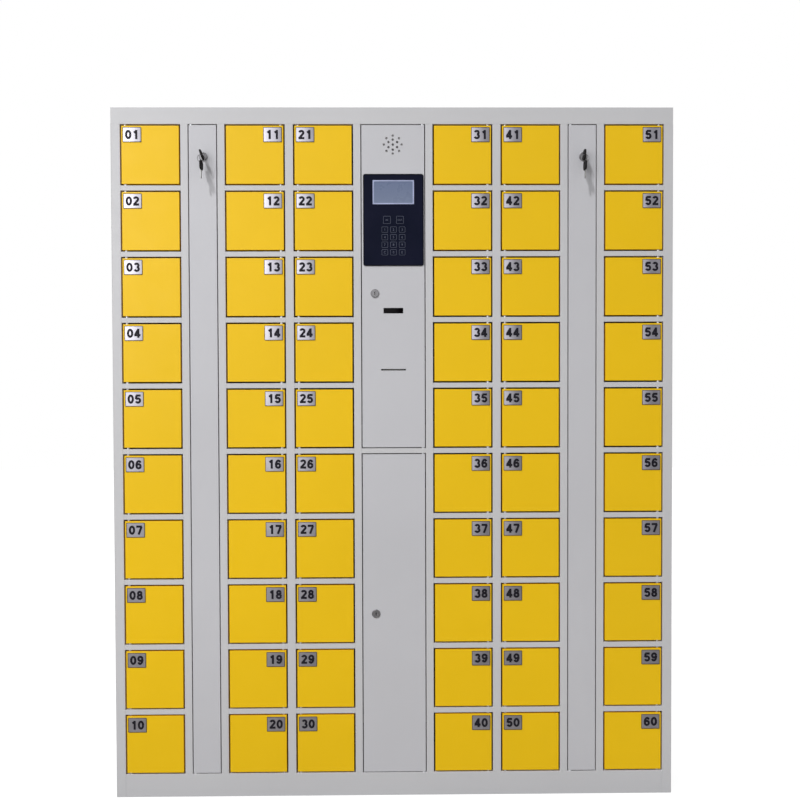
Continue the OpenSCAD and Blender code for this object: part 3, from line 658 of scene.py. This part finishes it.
# The speaker behind the door's holes is painted pale grey. This painted light lightens the shade in the
# holes.
SPEAKER_PAINTED_PALE = plastic("speaker_painted_light", srgb(172, 171, 172), rough=(0.7, 0.85), grain=1600, depth=0.1 * MM, shine=0.1)
BOARD = circuit_board("circuit_board")
DUCT = plastic("duct_plastic", srgb(140, 143, 148), rough=(0.5, 0.65), grain=900, depth=0.05 * MM)
PAPER = paper("thermal_paper")

SHEET_METAL = ("steel_grey", "door_grey", "door_yellow")
FINISHES = {
    "steel_grey": STEEL, "door_grey": DOOR, "door_yellow": YELLOW, "zinc": ZINC, "nickel": NICKEL,
    "black_plastic": BLACK, "panel_plastic": FILM, "lcd": LCD, "board": BOARD, "duct_plastic": DUCT,
    "paper": PAPER,
}


def dress_nodes():
    """Every CAD node gets its slot's finish, and sheet metal but the flat back gets rounded edges."""
    for part in frame["record"]["subparts"]:
        node = nodes[part["node"]]
        dress(node, FINISHES[part["material_slot"]])
        if part["material_slot"] in SHEET_METAL and part["node"] != "back_panel":
            soften(node, SHEET_ROUNDING)
    dress(nodes["electric_locks"], LOCK_CASE)
    # The speaker takes its pale grey, painted light for the shade in the door's holes.
    dress(nodes["speaker"], SPEAKER_PAINTED_PALE)


# Number plates

def plate_meshes():
    """Bare plate and its thin printed border, shared by all doors."""
    outline = rounded_outline(PLATE_W, PLATE_H, PLATE_CORNER)
    inner = rounded_outline(PLATE_W - 2 * PLATE_LINE, PLATE_H - 2 * PLATE_LINE, PLATE_CORNER / 2)
    return slab([outline], PLATE_T, PLATE_RIM), slab([outline, inner], INK_T, INK_RIM, 1)


def number_plates():
    """One plate for each door, in its upper left corner in every other column from the first, and in
    its upper right corner in the others."""
    plate, line = plate_meshes()
    for column, bank in enumerate(BANKS):
        on_left = column % 2 == 0
        for row in range(ROWS):
            number = column * ROWS + row + 1
            body = bank or f"door_{number:02d}"
            lo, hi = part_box(body)
            leaf_top = top_row[1].z - row * row_pitch
            in_from_edge = PLATE_IN + PLATE_W / 2
            x = lo.x + in_from_edge if on_left else hi.x - in_from_edge
            z = leaf_top - PLATE_DOWN - PLATE_H / 2
            digits = number_mesh(f"{number:02d}")
            on_plate = facing(x, front_y - PLATE_T, z)
            piece(f"number_plate_{number:02d}",
                  [(plate, facing(x, front_y, z), PLATE), (line, on_plate, LINE_INK),
                   (digits, on_plate, INK)],
                  body)


# Keys and locks

def bow_outline():
    """Head of the key, with the blade's end at y = 0 and the ring's hole at the far end."""
    lo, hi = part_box("spare_key_right")
    width = hi.y - lo.y
    length = hi.z - lo.z - BLADE_L
    return moved(rounded_outline(width, length, BOW_CORNER, BOW_STEPS), 0, length / 2), length


def blade_outline(width):
    """Blade towards -y with five cuts along one edge and a pointed tip."""
    half = width / 2
    points = [(-half, BLADE_ROOT), (-half, -BLADE_L + half), (0, -BLADE_L)]
    for k, cut in enumerate(CUTS):
        y = -BLADE_L + CUT_FIRST + k * CUT_PITCH
        points += [(half, y - CUT_START * CUT_PITCH), (half - cut, y - CUT_FLOOR * CUT_PITCH),
                   (half - cut, y + CUT_FLOOR * CUT_PITCH)]
    points += [(half, -BLADE_NECK), (half, BLADE_ROOT)]
    return points


def shrunk(outline, share, length):
    """The bow's outline made smaller about the bow's middle."""
    return [(share * x, length / 2 + share * (y - length / 2)) for x, y in outline]


def key_parts(matrix):
    """Black moulded bow with a raised rim, and a cut steel blade with a spine."""
    lo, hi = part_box("spare_key_right")
    thickness = hi.x - lo.x
    outline, length = bow_outline()
    hole = moved(circle_outline(BOW_HOLE_R, HOLE_STEPS), 0, length - BOW_HOLE_IN)
    core_t = CORE_T_SHARE * thickness
    rim = slab([outline, shrunk(outline, RIM_INSIDE, length)], thickness, BOW_RIM)
    core = slab([shrunk(outline, CORE_SHARE, length), hole], core_t, CORE_RIM)
    boss_outline = moved(circle_outline(BOW_HOLE_R + BOSS_W, HOLE_STEPS), 0, length - BOW_HOLE_IN)
    boss = slab([boss_outline, hole], thickness, BOSS_RIM)
    blade = slab([blade_outline(BLADE_W)], BLADE_CORE_T, BLADE_RIM, 1)
    spine_outline = moved(rounded_outline(SPINE_W, BLADE_L - SPINE_SHORTER, SPINE_CORNER, 2),
                          -BLADE_W / 2 + SPINE_IN, (SPINE_SHORTER - BLADE_L) / 2)
    spine = slab([spine_outline], BLADE_T, SPINE_RIM, 1)
    parts = []
    for mesh, depth, material in [(rim, thickness, BLACK), (core, core_t, BLACK),
                                  (boss, thickness, BLACK), (blade, BLADE_CORE_T, BLADE),
                                  (spine, BLADE_T, BLADE)]:
        centred = Matrix.Translation((0, 0, -depth / 2))
        parts.append((mesh, matrix @ centred, material))
    return parts


def keys():
    """The inserted keys point into the doors, and the spare keys hang blade down from their rings."""
    for side, lean in (("left", LEAN_LEFT), ("right", LEAN_RIGHT)):
        lock_lo, lock_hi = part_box(f"lock_service_{side}")
        x = (lock_lo.x + lock_hi.x) / 2
        z = (lock_lo.z + lock_hi.z) / 2
        leaning = Matrix.Rotation(math.radians(lean), 4, "Y")
        inwards = Matrix(((0, 0, 1, 0), (0, -1, 0, 0), (1, 0, 0, 0), (0, 0, 0, 1)))
        at_lock = Matrix.Translation((x, lock_lo.y - KEY_SHOULDER, z))
        key = piece(f"inserted_key_{side}", key_parts(at_lock @ leaning @ inwards),
                    f"plug_service_{side}")
        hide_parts(f"key_{side}")
        lo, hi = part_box(f"spare_key_{side}")
        hanging = Matrix(((0, 0, 1, 0), (1, 0, 0, 0), (0, 1, 0, 0), (0, 0, 0, 1)))
        middle = Matrix.Translation(((lo.x + hi.x) / 2, (lo.y + hi.y) / 2, lo.z + BLADE_L))
        spare = piece(f"hanging_key_{side}", key_parts(middle @ hanging),
                      f"spare_key_{side}")
        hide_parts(f"spare_key_{side}")


def lock_profile(head_t, barrel_l):
    """Turned lock body as (radius, height over the door's face): stepped head, threaded barrel."""
    bore = PLUG_R + PLUG_FIT
    points = [(bore, head_t - BORE_CHAMFER), (bore + BORE_CHAMFER, head_t)]
    points += [(BARREL_R + past, head_t - depth) for past, depth in GROOVE]
    points += [(HEAD_R - short, head_t - depth) for short, depth in SHOULDER]
    points += [(HEAD_R, HEAD_FOOT), (HEAD_R - HEAD_FOOT, 0), (BARREL_R - THREAD_DEPTH, 0)]
    turns = int((barrel_l - 2 * THREAD_FIRST) / THREAD_PITCH)
    for k in range(turns):
        y = -THREAD_FIRST - k * THREAD_PITCH
        points += [(BARREL_R - THREAD_DEPTH, y), (BARREL_R, y - THREAD_PITCH / 2)]
    points += [(BARREL_R - THREAD_DEPTH, -barrel_l), (bore, -barrel_l)]
    return points


def locks():
    """Turned lock bodies with their nuts replace the plain ones."""
    hexagon = circle_outline(NUT_AF / math.sqrt(3), 6, math.pi / 6)
    nut = slab([hexagon, circle_outline(BARREL_R, BARREL_STEPS)], NUT_T, NUT_RIM, 1)
    for name, body in (("lock_service_left", "service_door_left"),
                       ("lock_service_right", "service_door_right"),
                       ("lock_control", "control_door"), ("lock_lower", "lower_door")):
        lo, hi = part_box(name)
        x, z = (lo.x + hi.x) / 2, (lo.z + hi.z) / 2
        turned = lathe(lock_profile(front_y - lo.y, hi.y - front_y))
        parts = [(turned, facing(x, front_y, z), NICKEL),
                 (nut, facing(x, front_y + SHEET_T + NUT_T, z), ZINC)]
        lock = piece(f"turned_{name}", parts, body)
        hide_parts(name)


# Control panel details

def display_edge():
    """Pale frame along the display's edge."""
    width, height = LCD_SIZE
    x = (lcd_box[0].x + lcd_box[1].x) / 2
    z = (lcd_box[0].z + lcd_box[1].z) / 2
    outer = rounded_outline(width - LCD_PLAY, height - LCD_PLAY, LCD_OUTER_CORNER, 3)
    inner = rounded_outline(width - 2 * LCD_RIM, height - 2 * LCD_RIM, LCD_CORNER)
    edge = slab([outer, inner], LCD_EDGE_T, LCD_EDGE_RIM)
    piece("display_edge", [(edge, facing(x, lcd_box[0].y, z), LCD_EDGE)], "control_door")


def key_print(label, label_height, size, x, z):
    """Parts of one printed key: its outline and its label."""
    width, height = size
    outer = rounded_outline(width, height, KEY_CORNER)
    inner = rounded_outline(width - 2 * KEY_LINE, height - 2 * KEY_LINE, KEY_CORNER - KEY_LINE)
    ring = slab([outer, inner], PRINT_T, PRINT_RIM, 1)
    on_pad = facing(x, pad_box[0].y, z)
    return [(ring, on_pad, PRINT), (lettering(label, label_height), on_pad, PRINT)]


def keypad_print():
    """Two function keys over four rows of number keys."""
    middle = (pad_box[0].x + pad_box[1].x) / 2
    top = pad_box[1].z
    parts = []
    for side, label in ((-1, "IN"), (1, "OUT")):
        x = middle + side * FUNCTION_X
        parts += key_print(label, FUNCTION_LETTER_H, FUNCTION_SIZE, x, top - FUNCTION_DOWN)
    for row, labels in enumerate(KEY_LABELS):
        for place, label in enumerate(labels):
            x = middle + (place - 1) * NUMBER_PITCH[0]
            z = top - NUMBER_DOWN - row * NUMBER_PITCH[1]
            parts += key_print(label, NUMBER_LETTER_H, NUMBER_SIZE, x, z)
    piece("keypad_print", parts, "control_door")


def scanner_glass():
    """Dark window of the code scanner, on the door's face."""
    glass = slab([rounded_outline(*GLASS_SIZE, GLASS_CORNER)], GLASS_T, GLASS_RIM)
    on_door = facing(0, front_y, head_z - GLASS_DOWN)
    piece("scanner_glass", [(glass, on_door, GLASS)], "control_door")


# Stage

def floor_look():
    """White under and behind the cabinet, and fading to a pale grey before it, outside the picture."""
    look = Look("floor")
    _, y, _ = look.parts()
    white = look.span(y, 0.0, 1.0, front_y - FLOOR_FAR, front_y - FLOOR_NEAR)
    grain = look.noise(scale=3, detail=2)
    pale = look.mix(grain, srgb(152, 150, 146), srgb(160, 158, 154))
    look.set("Base Color", look.mix(white, pale, look.mix(grain, srgb(96, 96, 96), srgb(104, 104, 104))))
    look.set("Roughness", 0.9)
    path = look.tree.nodes.new("ShaderNodeLightPath").outputs
    mirrored = look.math("MAXIMUM", path["Is Glossy Ray"], path["Is Transmission Ray"])
    seen = look.math("MAXIMUM", path["Is Camera Ray"], mirrored)
    look.set("Emission Color", (1, 1, 1, 1))
    look.set("Emission Strength", look.math("MULTIPLY", look.math("MULTIPLY", seen, white), FLOOR_GLOW))
    return look.material


def floor():
    """Level sheet across the whole stage."""
    mesh = bpy.data.meshes.new("floor")
    made = bmesh.new()
    bmesh.ops.create_grid(made, x_segments=8, y_segments=8, size=FLOOR_REACH)
    made.to_mesh(mesh)
    made.free()
    sheet = bpy.data.objects.new("floor", mesh)
    bpy.context.scene.collection.objects.link(sheet)
    mesh.materials.append(floor_look())


def world():
    """White for the camera; glossy rays see a bright window before the cabinet, left of the middle."""
    studio = bpy.data.worlds.new("studio")
    bpy.context.scene.world = studio
    studio.use_nodes = True
    tree = studio.node_tree

    def node(kind, *values, **settings):
        made = tree.nodes.new(kind)
        for key, value in settings.items():
            setattr(made, key, value)
        for socket, value in zip(made.inputs, values):
            if isinstance(value, bpy.types.NodeSocket):
                tree.links.new(value, socket)
            elif value is not None:
                socket.default_value = value
        return made

    path = node("ShaderNodeLightPath").outputs
    way = node("ShaderNodeTexCoord").outputs["Generated"]
    dot = node("ShaderNodeVectorMath", way, WINDOW_WAY, operation="DOT_PRODUCT").outputs["Value"]
    window = node("ShaderNodeMapRange", dot, *WINDOW_EDGE, DIM_LEVEL, WINDOW_LEVEL).outputs["Result"]
    y = node("ShaderNodeSeparateXYZ", way).outputs["Y"]
    around = node("ShaderNodeMapRange", y, *DIM_END, 0.0, 1.0).outputs["Result"]
    seen = node("ShaderNodeMath", window, around, operation="MAXIMUM").outputs[0]
    mirror = node("ShaderNodeMath", path["Is Glossy Ray"], path["Is Transmission Ray"],
                  operation="MAXIMUM").outputs[0]
    lit = node("ShaderNodeMix", mirror, None, ROOM_LEVEL, seen).outputs[0]
    level = node("ShaderNodeMix", path["Is Camera Ray"], None, lit, 1.0).outputs[0]
    background = tree.nodes["Background"]
    background.inputs["Color"].default_value = (1, 1, 1, 1)
    tree.links.new(level, background.inputs["Strength"])


def lamp(name, kind, along):
    """A lamp that shines along a direction."""
    light = bpy.data.lights.new(name, kind)
    thing = bpy.data.objects.new(name, light)
    thing.rotation_mode = "QUATERNION"
    thing.rotation_quaternion = Vector(along).to_track_quat("-Z", "Y")
    bpy.context.scene.collection.objects.link(thing)
    return thing


def broad_lamp(name, place, aim, size, power):
    """A square soft box at a place, aimed at a point of the cabinet."""
    thing = lamp(name, "AREA", Vector(aim) - Vector(place))
    thing.location = place
    thing.data.shape = "SQUARE"
    thing.data.size = size
    thing.data.energy = power


def lamps():
    """A soft sun from the upper left front gives the shadows, a soft box on the left the falloff,
    and one behind lights the back panel."""
    sun = lamp("sun", "SUN", SUN_WAY).data
    sun.energy = SUN_POWER
    sun.angle = math.radians(SUN_SPREAD)
    broad_lamp("broad", **FRONT_BOX)
    broad_lamp("behind", **BACK_BOX)


def camera():
    """The photograph's point of view."""
    data = bpy.data.cameras.new("camera")
    data.sensor_width = SENSOR
    data.lens = SENSOR * FOCAL_SHARE
    data.clip_start = CLIP_NEAR
    data.clip_end = CLIP_FAR
    thing = bpy.data.objects.new("camera", data)
    turn = (Matrix.Rotation(YAW, 4, "Z") @ Matrix.Rotation(math.pi / 2 - PITCH, 4, "X")
            @ Matrix.Rotation(-ROLL, 4, "Z"))
    thing.matrix_world = Matrix.Translation((EYE_X, front_y - EYE_BACK, head_z - EYE_DROP)) @ turn
    bpy.context.scene.collection.objects.link(thing)
    bpy.context.scene.camera = thing


bpy.context.scene.view_settings.view_transform = "Standard"
camera()
world()
lamps()
floor()
dress_nodes()
number_plates()
keys()
locks()
display_edge()
keypad_print()
scanner_glass()
